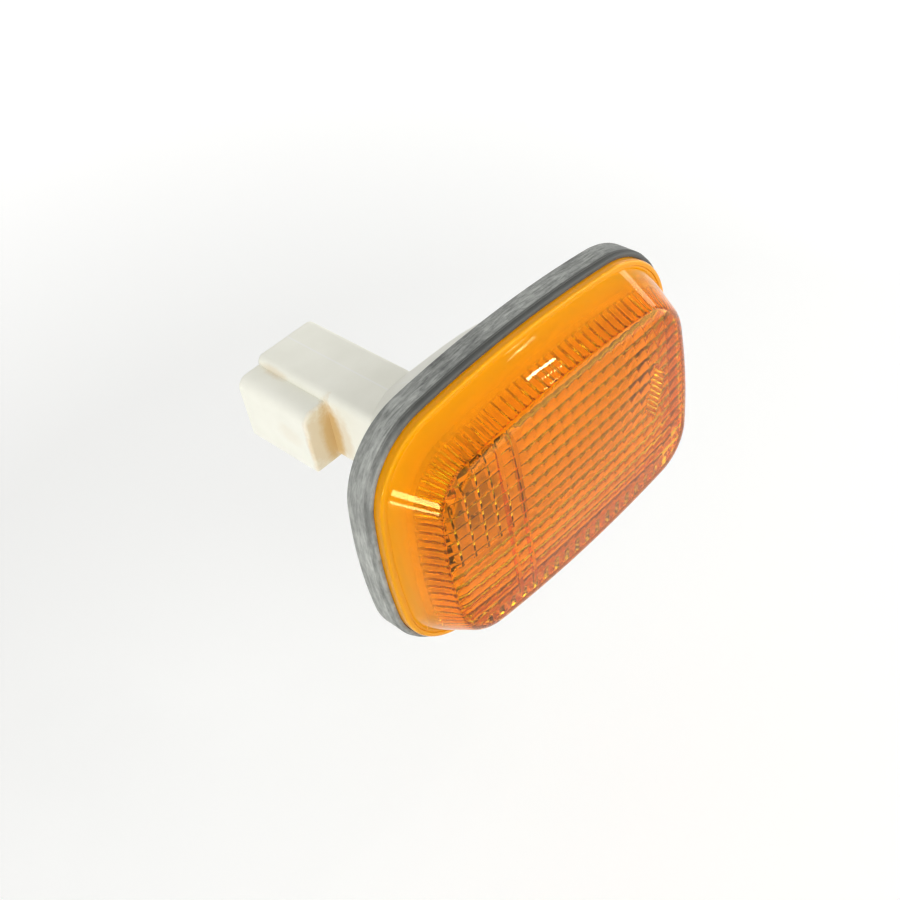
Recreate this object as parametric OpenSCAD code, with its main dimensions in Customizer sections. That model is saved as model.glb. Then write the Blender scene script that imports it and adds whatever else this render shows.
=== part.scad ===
// Vehicle side indicator lamp with an amber lens, a rubber gasket and a one-piece white housing.
// X runs along the lens, the lens faces -Y, +Z is up, and y = 0 is the panel that the gasket seats on.

/* [Outline] */
// Length of the lamp over its gasket
lamp_length = 75; // [68:0.5:84]
// Height of the lamp over its gasket
lamp_height = 53.6; // [48:0.2:60]
// Corner radius of the gasket's outline
corner_radius = 15.7; // [14:0.1:18]
// Radius of the bowed top and bottom sides
long_bow_radius = 193; // [150:1:300]
// Radius of the bowed end sides
end_bow_radius = 100; // [80:1:160]

/* [Gasket] */
// Depth of the gasket from the panel to its front lip
gasket_depth = 5.4; // [4.6:0.1:7]
// Thickness of the gasket round the rim
gasket_wall = 1; // [0.8:0.1:1.6]
// Thickness of the pad between the rim and the panel
gasket_pad = 1.2; // [0.8:0.1:1.8]
// Rounding of the gasket's outer edges
gasket_round = 0.5; // [0.2:0.05:0.7]

/* [Rim] */
// Thickness of the housing's rim plate
rim_thick = 2; // [1.6:0.1:2.4]
// Height of the weld tongue that stands inside the lens foot
tongue_height = 1.5; // [1:0.1:2.5]
// Thickness of the weld tongue
tongue_thick = 1.2; // [1:0.1:2]
// Gap left between parts that fit into each other
fit_gap = 0.1; // [0.05:0.01:0.15]

/* [Lens] */
// Height of the glossy flange in front of the gasket's lip
flange_out = 1.5; // [1:0.1:2.5]
// Width of the step from the flange's edge in to the lens wall
flange_step = 1.5; // [1:0.1:2]
// Thickness of the lens wall and face
lens_wall = 2; // [1.6:0.1:2.4]
// Depth from the gasket's front lip to the edge of the lens face
lens_out = 10.4; // [9:0.1:13]
// Angle at which the lens wall leans in towards the face
wall_lean = 27.3; // [20:0.1:30]
// Rounding between the lens wall and the lens face
face_round = 3.1; // [2.6:0.1:4]
// Rise of the crowned lens face at its middle
face_crown = 1.2; // [0.6:0.1:2]

/* [Lens optics] */
// Flutes along the inside of the lens wall, counted in one quarter of the outline
quarter_flutes = 30; // [20:1:34]
// Height of one flute
flute_height = 0.5; // [0.3:0.05:0.7]
// Length of the flutes along the wall
flute_length = 3.9; // [2.5:0.1:4.4]
// Pitch of the pillow cells along the lens
pillow_pitch_x = 2.8; // [2.4:0.1:4]
// Pitch of the rows of pillow cells
pillow_pitch_z = 2.4; // [2:0.1:4]
// Height of one pillow cell
pillow_height = 0.55; // [0.3:0.05:0.8]

// Ridges in the fan at the far end of the lens
fan_ridges = 10; // [8:1:14]
// Angle between two ridges of the fan
fan_step = 11; // [8:0.5:12]
// Place of the fan's centre along the lens
fan_x = 12; // [8:0.5:14]
// Distance from the fan's centre to the ridges' inner ends
fan_inner = 6; // [5:0.5:8]
// Distance from the fan's centre to the ridges' outer ends
fan_outer = 12; // [10:0.5:14]
// Place of the upright ridge nearest the bulb
upright_x = -13.3; // [-16:0.1:-8]
// Gap between the two upright ridges
upright_gap = 3.5; // [2:0.1:5]
// Half width of a ridge
ridge_width = 0.6; // [0.3:0.05:0.8]
// Height of the ridges over the pillow cells
ridge_rise = 0.15; // [0:0.05:0.4]

/* [Bowl] */
// Length of the bowl where it passes through the panel
bowl_length = 56; // [50:0.5:57]
// Height of the bowl where it passes through the panel
bowl_height = 33.6; // [30:0.2:35]
// Depth at which the bowl's curve would close
bowl_depth = 24.7; // [23:0.1:27]
// Distance of the bowl's flat back from the panel
bowl_back = 22; // [20.5:0.1:22.8]
// Thickness of the bowl's wall
bowl_wall = 1.8; // [1.4:0.1:2.2]
// Squareness of the bowl's section, 2 is an ellipse
bowl_square = 4.5; // [3:0.1:6]
// Fullness of the bowl's side, 1 is a straight taper and 2 a round one
bowl_full = 1.6; // [1.4:0.1:2]

/* [Stalk] */
// Width of the stalk
stalk_width = 14.3; // [13.6:0.1:16]
// Height of the stalk
stalk_height = 15.4; // [14.6:0.1:18]
// Distance of the stalk's end from the panel
stalk_end = 48; // [46:0.5:60]
// Distance of the stalk's axis from the middle of the lamp
stalk_offset = 10.15; // [8:0.05:12]
// Rounding of the stalk's long edges
stalk_round = 1.6; // [1:0.1:2.2]
// Thickness of the stalk's wall
stalk_wall = 1.6; // [1.3:0.1:1.7]

/* [Connector] */
// How far the connector shroud stands out beside the stalk
shroud_out = 5.5; // [4.5:0.1:8]
// Length of the connector shroud
shroud_length = 19.3; // [17:0.1:22]
// Step down from the stalk's top to the shroud's top
shroud_step = 1.8; // [1:0.1:2.5]
// Rounding of the shroud's edges
shroud_round = 1; // [0.6:0.1:1.1]
// Rounding of the shroud's long outer edge at its top
shroud_brow = 2.4; // [1.2:0.1:3]
// Wall round the connector socket
shroud_wall = 1.2; // [1:0.1:1.4]
// Depth of the connector socket
socket_depth = 16.5; // [14:0.5:16.5]
// Width of the latch channel over the socket
key_width = 7; // [5:0.1:9]
// Height of the latch channel
key_height = 1.4; // [0.8:0.1:1.6]

/* [Bulb] */
// Diameter of the wedge-base bulb's glass
bulb_diameter = 10.2; // [9:0.1:10.2]
// Length of the bulb from tip to base end
bulb_length = 26.6; // [24:0.1:27]
// Thickness of the bulb's glass
glass_wall = 0.5; // [0.4:0.05:0.8]
// Width of the wedge base
base_width = 9.5; // [8.5:0.1:9.6]
// Thickness of the wedge base
base_thick = 2.1; // [1.8:0.05:2.4]
// Length of the flat wedge base
base_length = 6.4; // [5:0.1:6.6]
// Length of the pinch between the round glass and the wedge base
pinch_length = 2.7; // [2:0.1:3.5]
// Diameter of the lead wires
lead_diameter = 0.5; // [0.3:0.05:0.6]
// Length of lead folded back along the wedge base
lead_tail = 5.4; // [3:0.1:6]
// Spacing of the lead wires
lead_spacing = 4.8; // [4:0.1:5.6]
// Diameter of the coiled filament
coil_diameter = 0.9; // [0.6:0.05:1.2]
// Turns of the filament
coil_turns = 8; // [5:1:10]
// Diameter of the filament's wire
filament_wire = 0.16; // [0.1:0.01:0.2]

/* [Terminals] */
// Thickness of the brass strip
strip_thick = 0.6; // [0.5:0.05:0.7]
// Width of the spring leaf on the bulb's base
leaf_width = 3; // [2:0.1:3.6]
// How far the leaves stand out of their block in the stalk
leaf_proud = 0.4; // [0.2:0.1:1]
// Width of the connector pins
pin_width = 2.3; // [1.8:0.1:2.8]
// Length of the pins in the socket
pin_length = 11; // [8:0.5:13]
// Pitch of the pins
pin_pitch = 6; // [5:0.1:6.6]

/* [Fixing] */
// Gap from the gasket to the lug and the latch, for the panel
panel_grip = 2.1; // [1.8:0.1:2.6]
// Reach of the fixed lug past the bowl
lug_reach = 3.5; // [2.5:0.1:4.5]
// Thickness of the fixed lug
lug_thick = 2.6; // [2:0.1:3.5]
// Width of the fixed lug
lug_width = 12; // [8:0.5:16]
// Reach of the spring latch past the bowl
latch_reach = 4; // [3:0.1:5]
// Thickness of the spring latch
latch_thick = 1.4; // [1:0.1:1.8]
// Width of the spring latch
latch_width = 10; // [7:0.5:14]
// Distance of the latch's root from the panel
latch_root = 12; // [10:0.5:14]
// Distance of the latch's knee from the panel's grip
latch_knee = 6; // [5:0.5:7]
// Length of the latch's root arm beside the bowl
latch_arm = 4; // [3:0.5:5]

/* [Hidden] */
$fn = 48;

// Corner of the bowed outline: where the arcs of radius corner_radius have their centres
long_centre = [0, lamp_height / 2 - long_bow_radius];
end_centre = [lamp_length / 2 - end_bow_radius, 0];
centre_gap = norm(end_centre - long_centre);
long_arm = long_bow_radius - corner_radius;
end_arm = end_bow_radius - corner_radius;
along_gap = (long_arm * long_arm - end_arm * end_arm + centre_gap * centre_gap) / (2 * centre_gap);
across_gap = sqrt(long_arm * long_arm - along_gap * along_gap);
gap_way = (end_centre - long_centre) / centre_gap;
corner_centre = long_centre + gap_way * along_gap + [gap_way[1], -gap_way[0]] * across_gap;
end_angle = atan2(corner_centre[1], corner_centre[0] - end_centre[0]);
long_angle = atan2(corner_centre[1] - long_centre[1], corner_centre[0]);
// Lengths of the end, corner and long arcs in one quarter, where degrees become lengths
degree = PI / 180;
end_run = end_bow_radius * end_angle * degree;
corner_run = corner_radius * (long_angle - end_angle) * degree;
long_run = long_bow_radius * (90 - long_angle) * degree;
quarter_run = end_run + corner_run + long_run;

// Depths in y, from the panel forwards
rim_back = -gasket_pad;
rim_front = rim_back - rim_thick;
lip = -gasket_depth;
shoulder = lip - flange_out;
face_edge = lip - lens_out;
// Insets from the gasket's outline
rim_inset = gasket_wall + fit_gap;
wall_inset = rim_inset + flange_step;
foot_inset = wall_inset + lens_wall;
tongue_inset = foot_inset + fit_gap;
// The rounded edge runs into the leaning wall and into the face without a kink
lean_slope = tan(wall_lean);
edge_reach = tan(45 - wall_lean / 2);
face_inset = wall_inset + lean_slope * (shoulder - face_edge) + edge_reach * face_round;
inner_round = face_round - lens_wall;
inner_face = face_edge + lens_wall;
inner_inset = foot_inset + lean_slope * (shoulder - inner_face) + edge_reach * inner_round;
round_start = inner_face + inner_round * (1 - sin(wall_lean));
flute_start = round_start + flute_length;
// Half sizes of the lens face's inside
face_half_x = lamp_length / 2 - inner_inset;
face_half_z = lamp_height / 2 - inner_inset;
// Depth by which joined shapes run into each other, and thickness of a hull's end slice
overlap = 0.05;
sliver = 0.1;
// Distance that a cut runs past the face it opens
past = 1;
// Points in the end, corner and long arcs of the outline, and round the bowl's section
end_steps = 8;
corner_steps = 9;
long_steps = 10;
bowl_steps = 48;
bowl_rings = 6;
// Sizes of the rings that carry the crowned face, and count of those round its edge
crown_sizes = [0.15, 0.45, 0.75];
edge_rings = 3;

// Stalk and connector
stalk_x = -stalk_offset;
stalk_left = stalk_x - stalk_width / 2;
stalk_right = stalk_x + stalk_width / 2;
shroud_left = stalk_left - shroud_out;
shroud_front = stalk_end - shroud_length;
shroud_top = stalk_height / 2 - shroud_step;
socket_floor = stalk_end - socket_depth;
socket_left = shroud_left + shroud_wall;
socket_right = stalk_right - shroud_wall;
socket_low = -stalk_height / 2 + shroud_wall;
socket_high = shroud_top - shroud_wall;
socket_x = (socket_left + socket_right) / 2;
socket_z = (socket_low + socket_high) / 2;

// Bulb and its pocket in the stalk
pocket_wall = 1.1;
pocket_floor = socket_floor - pocket_wall;
lead_radius = lead_diameter / 2;
bend_gap = lead_radius + fit_gap;
base_end = pocket_floor - fit_gap - lead_diameter - fit_gap;
bulb_tip = base_end - bulb_length;
glass_radius = bulb_diameter / 2;
base_start = bulb_length - base_length;
pinch_start = base_start - pinch_length;
filament_depth = bulb_tip + glass_radius;
lead_x = base_thick / 2 + fit_gap / 2 + lead_radius;
leaf_inner = lead_x + lead_radius;
leaf_outer = leaf_inner + strip_thick;
pocket_half_x = leaf_outer + fit_gap;
pocket_half_z = base_width / 2 + 2 * fit_gap;
block_front = pocket_floor - base_length;
leaf_start = block_front - leaf_proud;
leaf_z = lead_spacing / 2;

// Points of the bowed outline moved in by an inset, as [x, z]
function arc(centre, radius, from, to, steps) =
    [for (i = [0 : steps - 1]) let (a = from + (to - from) * i / steps) centre + radius * [cos(a), sin(a)]];
function flipped(p, sx, sz) = [p[0] * sx, p[1] * sz];
function outline(inset) = let (
        r = corner_radius - inset,
        e = end_bow_radius - inset,
        l = long_bow_radius - inset
    ) concat(
        arc(end_centre, e, -end_angle, end_angle, end_steps),
        arc(corner_centre, r, end_angle, long_angle, corner_steps),
        arc(long_centre, l, long_angle, 180 - long_angle, long_steps),
        arc(flipped(corner_centre, -1, 1), r, 180 - long_angle, 180 - end_angle, corner_steps),
        arc(flipped(end_centre, -1, 1), e, 180 - end_angle, 180 + end_angle, end_steps),
        arc(flipped(corner_centre, -1, -1), r, 180 + end_angle, 180 + long_angle, corner_steps),
        arc(flipped(long_centre, 1, -1), l, 180 + long_angle, 360 - long_angle, long_steps),
        arc(flipped(corner_centre, 1, -1), r, 360 - long_angle, 360 - end_angle, corner_steps));

// Centre and angle of the arc that lies a run along the quarter outline
function run_centre(run) = run < end_run ? end_centre
    : run < end_run + corner_run ? corner_centre : long_centre;
function run_radius(run) = run < end_run ? end_bow_radius
    : run < end_run + corner_run ? corner_radius : long_bow_radius;
function run_angle(run) = run < end_run ? run / end_bow_radius / degree
    : run < end_run + corner_run ? end_angle + (run - end_run) / corner_radius / degree
    : long_angle + (run - end_run - corner_run) / long_bow_radius / degree;
function run_point(run, inset) =
    run_centre(run) + (run_radius(run) - inset) * [cos(run_angle(run)), sin(run_angle(run))];

// Points of the bowl's squarish section, full at the panel and closing towards its depth
function squared(value) = sign(value) * pow(abs(value), 2 / bowl_square);
function bowl_size(depth, y) = y <= 0 ? 1 : pow(1 - pow(y / depth, bowl_full), 1 / bowl_full);
function bowl_section(half_x, half_z, size) = [for (i = [0 : bowl_steps - 1]) let (a = 360 * i / bowl_steps)
    [half_x * size * squared(cos(a)), half_z * size * squared(sin(a))]];

// Solid through rings of equal count, each given as [y, points]
module loft(rings) {
    count = len(rings[0][1]);
    last = len(rings) - 1;
    points = [for (ring = rings) each [for (p = ring[1]) [p[0], ring[0], p[1]]]];
    sides = [for (k = [0 : last - 1]) each [for (i = [0 : count - 1])
        [k * count + i, k * count + (i + 1) % count, (k + 1) * count + (i + 1) % count, (k + 1) * count + i]]];
    near_cap = [for (i = [count - 1 : -1 : 0]) i];
    far_cap = [for (i = [0 : count - 1]) last * count + i];
    polyhedron(points, concat([near_cap], sides, [far_cap]), convexity = 6);
}

// Shape in X and Z run along Y from one depth to another
module run_y(from, to) {
    translate([0, to, 0]) rotate([90, 0, 0]) linear_extrude(to - from) children();
}

module round_rect(low, high, radius) {
    translate([low[0] + radius, low[1]]) square([high[0] - low[0] - 2 * radius, high[1] - low[1]]);
    translate([low[0], low[1] + radius]) square([high[0] - low[0], high[1] - low[1] - 2 * radius]);
    for (x = [low[0] + radius, high[0] - radius], y = [low[1] + radius, high[1] - radius])
        translate([x, y]) circle(radius);
}

module box(low, high) {
    translate(low) cube(high - low);
}

// Lens: flange, leaning wall, rounded edge and crowned face
function crown_ring(edge, inset, size) =
    [edge - face_crown * (1 - size * size), [for (p = outline(inset)) p * size]];
function edge_ring(edge, inset, radius, turn) =
    [edge + radius * (1 - sin(turn)), outline(inset - radius * cos(turn))];

module lens_skin() {
    loft([for (size = crown_sizes) crown_ring(face_edge, face_inset, size),
        for (k = [0 : edge_rings])
            edge_ring(face_edge, face_inset, face_round, 90 - (90 - wall_lean) * k / edge_rings),
        [shoulder, outline(wall_inset)],
        [shoulder, outline(rim_inset + gasket_round)],
        [shoulder + gasket_round, outline(rim_inset)],
        [rim_front, outline(rim_inset)]]);
}

module lens_hollow() {
    flute_inset = foot_inset + lean_slope * (shoulder - flute_start);
    lean_inset = foot_inset + lean_slope * (shoulder - round_start);
    loft([for (size = crown_sizes) crown_ring(inner_face, inner_inset, size),
        for (k = [0 : edge_rings])
            edge_ring(inner_face, inner_inset, inner_round, 90 - (90 - wall_lean) * k / edge_rings)]);
    loft([[round_start - overlap, fluted(lean_inset + overlap)],
        [flute_start + overlap, fluted(flute_inset + overlap)]]);
    loft([[flute_start, outline(flute_inset)],
        [shoulder, outline(foot_inset)],
        [rim_front + past, outline(foot_inset)]]);
}

// Fluted outline: valleys on the wall's inside and crests that stand in from it
function quarter_flute_points(inset) = [for (k = [0 : 2 * quarter_flutes - 1])
    run_point((k + 0.5) * quarter_run / (2 * quarter_flutes), inset + (k % 2) * flute_height)];
function reversed(list) = [for (i = [len(list) - 1 : -1 : 0]) list[i]];
function fluted(inset) = let (quarter = quarter_flute_points(inset)) concat(
    quarter,
    reversed([for (p = quarter) flipped(p, -1, 1)]),
    [for (p = quarter) flipped(p, -1, -1)],
    reversed([for (p = quarter) flipped(p, 1, -1)]));

// Pillow cells: a sheet of blunt pyramids on the inside of the crowned face
function reach(p) = pow(abs(p[0]) / face_half_x, 4) + pow(abs(p[1]) / face_half_z, 4);
function inside_y(p) = inner_face - face_crown * (1 - sqrt(min(reach(p), 1)));

module pillow_sheet() {
    columns = floor(2 * face_half_x / pillow_pitch_x);
    rows = floor(2 * face_half_z / pillow_pitch_z);
    top = 0.3;
    sunk = -lens_wall / 4;
    function corner(i, j) = [(i - columns / 2) * pillow_pitch_x, (j - rows / 2) * pillow_pitch_z];
    function index(i, j) = i * (rows + 1) + j;
    grid = [for (i = [0 : columns], j = [0 : rows]) corner(i, j)];
    count = len(grid);
    valleys = [for (p = grid) [p[0], inside_y(p) + (reach(p) < 1 ? 2 * overlap : sunk), p[1]]];
    bottoms = [for (p = grid) [p[0], inside_y(p) - lens_wall / 2, p[1]]];
    tops = [for (i = [0 : columns - 1], j = [0 : rows - 1])
        let (c = corner(i + 0.5, j + 0.5), y = inside_y(c) + (reach(c) < 0.95 ? pillow_height : sunk))
        each [for (q = [[-1, -1], [1, -1], [1, 1], [-1, 1]])
            [c[0] + q[0] * top * pillow_pitch_x, y, c[1] + q[1] * top * pillow_pitch_z]]];
    cells = [for (i = [0 : columns - 1], j = [0 : rows - 1])
        let (t = 2 * count + 4 * (i * rows + j),
            c = [index(i, j), index(i + 1, j), index(i + 1, j + 1), index(i, j + 1)])
        each concat([[t, t + 1, t + 2, t + 3]],
            [for (k = [0 : 3]) [c[k], c[(k + 1) % 4], t + (k + 1) % 4, t + k]])];
    floors = [for (i = [0 : columns - 1], j = [0 : rows - 1])
        [count + index(i, j + 1), count + index(i + 1, j + 1), count + index(i + 1, j), count + index(i, j)]];
    edge = concat([for (i = [0 : columns - 1]) index(i, 0)], [for (j = [0 : rows - 1]) index(columns, j)],
        [for (i = [columns : -1 : 1]) index(i, rows)], [for (j = [rows : -1 : 1]) index(0, j)]);
    sides = [for (k = [0 : len(edge) - 1]) let (a = edge[k], b = edge[(k + 1) % len(edge)])
        [b, a, count + a, count + b]];
    polyhedron(concat(valleys, bottoms, tops), concat(cells, floors, sides), convexity = 8);
}

// Ridge with a triangular section along the inside of the face
module face_ridge(from, to) {
    hull() for (p = [from, to])
        translate([p[0], inside_y(p), p[1]]) rotate([90, 45, 0])
            cylinder(h = 2 * (pillow_height + ridge_rise), r1 = sliver, r2 = ridge_width, $fn = 4, center = true);
}

// Fan of ridges in front of the lamp's far end, and two upright ridges that divide the cells near the bulb
module fan_of_ridges() {
    for (k = [0 : fan_ridges - 1]) {
        turn = (k - (fan_ridges - 1) / 2) * fan_step;
        face_ridge([fan_x + fan_inner * cos(turn), fan_inner * sin(turn)],
            [fan_x + fan_outer * cos(turn), fan_outer * sin(turn)]);
    }
}

module upright_ridges() {
    for (x = [upright_x, upright_x - upright_gap])
        face_ridge([x, ridge_width - face_half_z], [x, face_half_z - ridge_width]);
}

module lens() {
    color([0.96, 0.55, 0.02, 0.85]) union() {
        difference() {
            lens_skin();
            lens_hollow();
        }
        intersection() {
            pillow_sheet();
            lens_skin();
        }
        fan_of_ridges();
        upright_ridges();
    }
}

// Gasket: a pad behind the rim and a wall round it
module gasket() {
    color([0.47, 0.48, 0.47]) difference() {
        loft([[lip, outline(gasket_round)],
            [lip + gasket_round, outline(0)],
            [-gasket_round, outline(0)],
            [0, outline(gasket_round)]]);
        loft([[lip - past, outline(gasket_wall)], [rim_back, outline(gasket_wall)]]);
        bowl_solid(bowl_length / 2 + 2 * fit_gap, bowl_height / 2 + 2 * fit_gap, bowl_depth, 1);
    }
}

// Housing: rim plate, tongue, bowl, stalk, connector shroud, lug and latch in one moulding
module bowl_solid(half_x, half_z, depth, back) {
    far = back < depth ? back : depth;
    loft([[rim_front - past, bowl_section(half_x, half_z, 1)],
        for (k = [0 : bowl_rings]) let (y = far * sin(90 * k / bowl_rings))
            [y, bowl_section(half_x, half_z, bowl_size(depth, y))]]);
}

module rim_plate() {
    run_y(rim_front, rim_back) polygon(outline(rim_inset));
    run_y(rim_front - tongue_height, rim_back) difference() {
        polygon(outline(tongue_inset));
        polygon(outline(tongue_inset + tongue_thick));
    }
}

module stalk_body() {
    intersection() {
        run_y(rim_back, stalk_end)
            round_rect([stalk_left, -stalk_height / 2], [stalk_right, stalk_height / 2], stalk_round);
        translate([0, 0, -stalk_height]) linear_extrude(2 * stalk_height)
            round_rect([stalk_left, -stalk_end], [stalk_right, stalk_end], stalk_round);
    }
}

module shroud_body() {
    intersection() {
        run_y(shroud_front, stalk_end) difference() {
            round_rect([shroud_left, -stalk_height / 2], [stalk_x, shroud_top], shroud_round);
            translate([shroud_left, shroud_top - shroud_brow]) difference() {
                square(shroud_brow);
                translate([shroud_brow, 0]) circle(shroud_brow);
            }
        }
        translate([0, 0, -stalk_height]) linear_extrude(2 * stalk_height)
            round_rect([shroud_left, shroud_front], [stalk_x, stalk_end], shroud_round);
    }
}

module lug() {
    box([-bowl_length / 2 - lug_reach, panel_grip, -lug_width / 2],
        [bowl_wall - bowl_length / 2, panel_grip + lug_thick, lug_width / 2]);
}

module latch() {
    root_x = bowl_length / 2 * bowl_size(bowl_depth, latch_root) - bowl_wall / 2;
    knee_x = bowl_length / 2 + latch_reach;
    knee_y = panel_grip + latch_knee;
    nose_x = bowl_length / 2 + 2 * latch_thick;
    translate([0, 0, -latch_width / 2]) linear_extrude(latch_width) polygon([
        [root_x, latch_root],
        [root_x + latch_arm, latch_root],
        [knee_x - latch_thick, knee_y],
        [knee_x - latch_thick, knee_y - latch_thick],
        [nose_x - 1.5 * latch_thick, panel_grip],
        [nose_x, panel_grip],
        [knee_x, knee_y - 2 * latch_thick],
        [knee_x, knee_y + latch_thick],
        [root_x + latch_arm, latch_root + latch_thick],
        [root_x, latch_root + latch_thick]]);
}

module stalk_bore() {
    run_y(rim_front - past, block_front)
        round_rect([stalk_left + stalk_wall, -stalk_height / 2 + stalk_wall],
            [stalk_right - stalk_wall, stalk_height / 2 - stalk_wall], stalk_round / 2);
}

module bulb_pocket() {
    box([stalk_x - pocket_half_x, block_front - past, -pocket_half_z],
        [stalk_x + pocket_half_x, pocket_floor, pocket_half_z]);
}

module socket_hollow() {
    run_y(socket_floor, stalk_end + past)
        round_rect([socket_left, socket_low], [socket_right, socket_high], shroud_round / 2);
    box([socket_x - key_width / 2, socket_floor, socket_z],
        [socket_x + key_width / 2, stalk_end + past, socket_high + key_height]);
}

module housing() {
    color([0.93, 0.93, 0.87]) difference() {
        union() {
            rim_plate();
            bowl_solid(bowl_length / 2, bowl_height / 2, bowl_depth, bowl_back);
            stalk_body();
            shroud_body();
            lug();
            latch();
        }
        bowl_solid(bowl_length / 2 - bowl_wall, bowl_height / 2 - bowl_wall,
            bowl_depth - bowl_wall, bowl_back - bowl_wall);
        stalk_bore();
        bulb_pocket();
        socket_hollow();
        terminal_slots();
    }
}

// Bulb: blown glass with a pinched wedge base
module at_bulb() {
    translate([stalk_x, bulb_tip, 0]) rotate([-90, 0, 0]) children();
}

module half_round(radius, length) {
    intersection() {
        translate([0, radius]) circle(radius);
        square([radius, length]);
    }
    translate([0, radius]) square([radius, length - radius]);
}

module bulb_glass() {
    color([0.82, 0.87, 0.88, 0.4]) at_bulb() difference() {
        union() {
            rotate_extrude() half_round(glass_radius, pinch_start);
            hull() {
                translate([0, 0, pinch_start - sliver]) cylinder(h = sliver, r = glass_radius, $fn = 32);
                translate([-base_thick / 2, -base_width / 2, base_start]) cube([base_thick, base_width, sliver]);
            }
            translate([-base_thick / 2, -base_width / 2, base_start])
                cube([base_thick, base_width, base_length]);
        }
        translate([0, 0, glass_wall])
            rotate_extrude() half_round(glass_radius - glass_wall, pinch_start - 2 * glass_wall);
        for (side = [-1, 1])
            translate([0, side * lead_spacing / 2, glass_radius])
                cylinder(h = bulb_length, r = lead_radius);
    }
}

module rod(from, to, radius) {
    way = to - from;
    translate(from) rotate([0, acos(way[2] / norm(way)), atan2(way[1], way[0])])
        cylinder(h = norm(way), r = radius);
}

// Lead wire: from its post at the filament, through the pinch, round the base end and along one face
module bulb_lead(side) {
    x = stalk_x + side * lead_x;
    z = side * leaf_z;
    turn_y = base_end + bend_gap;
    path = [[stalk_x, filament_depth - coil_diameter / 2, z], [stalk_x, turn_y, z], [x, turn_y, z],
        [x, base_end - lead_tail, z]];
    color([0.72, 0.72, 0.7]) {
        for (i = [0 : 2]) rod(path[i], path[i + 1], lead_radius);
        for (i = [1 : 2]) translate(path[i]) sphere(lead_radius);
    }
}

module bulb_lead_upper() {
    bulb_lead(1);
}

module bulb_lead_lower() {
    bulb_lead(-1);
}

// Filament: a coil between the two posts, its ends drawn in to the posts
module bulb_filament() {
    steps = coil_turns * 12;
    wire_sides = 5;
    half = leaf_z - lead_radius;
    centre = [stalk_x, filament_depth, 0];
    function coil_radius(t) = coil_diameter / 2 * min(1, t * coil_turns, (1 - t) * coil_turns);
    function coil_point(t) = let (a = 360 * coil_turns * t)
        centre + [coil_radius(t) * cos(a), coil_radius(t) * sin(a), half * (2 * t - 1)];
    function ring(t) = let (
            way = coil_point(min(t + 0.002, 1)) - coil_point(max(t - 0.002, 0)),
            side = cross(way, [0, 0, 1]),
            u = norm(side) > 0.0001 ? side / norm(side) : [1, 0, 0],
            v = cross(way, u) / norm(cross(way, u))
        ) [for (k = [0 : wire_sides - 1]) let (a = 360 * k / wire_sides)
            coil_point(t) + filament_wire / 2 * (cos(a) * u + sin(a) * v)];
    function index(i, k) = i * wire_sides + k % wire_sides;
    points = [for (i = [0 : steps]) each ring(i / steps)];
    sides = [for (i = [0 : steps - 1], k = [0 : wire_sides - 1])
        [index(i, k), index(i + 1, k), index(i + 1, k + 1), index(i, k + 1)]];
    start = [for (k = [0 : wire_sides - 1]) k];
    end = [for (k = [wire_sides - 1 : -1 : 0]) index(steps, k)];
    color([0.45, 0.45, 0.47])
        polyhedron(points, concat([start], sides, [end]), convexity = 8);
}

// Terminal: leaf on the bulb's base, a foot across the socket floor and a pin in the socket
module terminal(side, grow) {
    leaf_x = stalk_x + side * (leaf_inner + strip_thick / 2);
    pin_x = socket_x + side * pin_pitch / 2;
    half = strip_thick / 2 + grow;
    leaf_low = side > 0 ? leaf_z - leaf_width / 2 : -leaf_z - leaf_width / 2;
    leaf_high = leaf_low + leaf_width;
    pin_low = socket_z - pin_width / 2;
    box([leaf_x - half, leaf_start, leaf_low - grow], [leaf_x + half, socket_floor + strip_thick, leaf_high + grow]);
    if (grow == 0) {
        box([min(pin_x, leaf_x) - half, socket_floor, min(leaf_low, pin_low)],
            [max(pin_x, leaf_x) + half, socket_floor + strip_thick, max(leaf_high, pin_low + pin_width)]);
        translate([pin_x - half, 0, 0]) rotate([90, 0, 90]) linear_extrude(strip_thick) polygon([
            [socket_floor, pin_low],
            [socket_floor + pin_length - strip_thick, pin_low],
            [socket_floor + pin_length, pin_low + strip_thick],
            [socket_floor + pin_length, pin_low + pin_width - strip_thick],
            [socket_floor + pin_length - strip_thick, pin_low + pin_width],
            [socket_floor, pin_low + pin_width]]);
    }
}

module terminal_slots() {
    terminal(1, fit_gap / 4);
    terminal(-1, fit_gap / 4);
}

module terminal_upper() {
    color([0.78, 0.62, 0.3]) terminal(1, 0);
}

module terminal_lower() {
    color([0.78, 0.62, 0.3]) terminal(-1, 0);
}

lens();
gasket();
housing();
bulb_glass();
bulb_filament();
bulb_lead_upper();
bulb_lead_lower();
terminal_upper();
terminal_lower();
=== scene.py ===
import bpy
import math
from mathutils import Matrix, Vector


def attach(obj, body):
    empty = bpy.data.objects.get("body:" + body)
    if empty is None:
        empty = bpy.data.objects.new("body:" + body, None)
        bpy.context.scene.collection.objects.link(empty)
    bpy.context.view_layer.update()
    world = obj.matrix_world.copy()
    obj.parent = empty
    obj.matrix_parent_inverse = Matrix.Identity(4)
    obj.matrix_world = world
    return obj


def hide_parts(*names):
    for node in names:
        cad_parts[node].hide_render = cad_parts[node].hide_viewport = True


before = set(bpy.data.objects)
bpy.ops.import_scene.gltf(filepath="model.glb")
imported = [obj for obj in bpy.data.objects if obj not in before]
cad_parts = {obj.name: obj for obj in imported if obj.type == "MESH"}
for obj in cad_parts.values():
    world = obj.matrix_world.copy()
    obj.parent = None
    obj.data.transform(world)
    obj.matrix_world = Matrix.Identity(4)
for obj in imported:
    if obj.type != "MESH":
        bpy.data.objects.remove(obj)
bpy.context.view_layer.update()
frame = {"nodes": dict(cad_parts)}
nodes = frame["nodes"]
mm = 0.001
smoothAngle = 30  # degrees, edges sharper than this stay sharp
print("frame loaded:", ", ".join(nodes))


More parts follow.
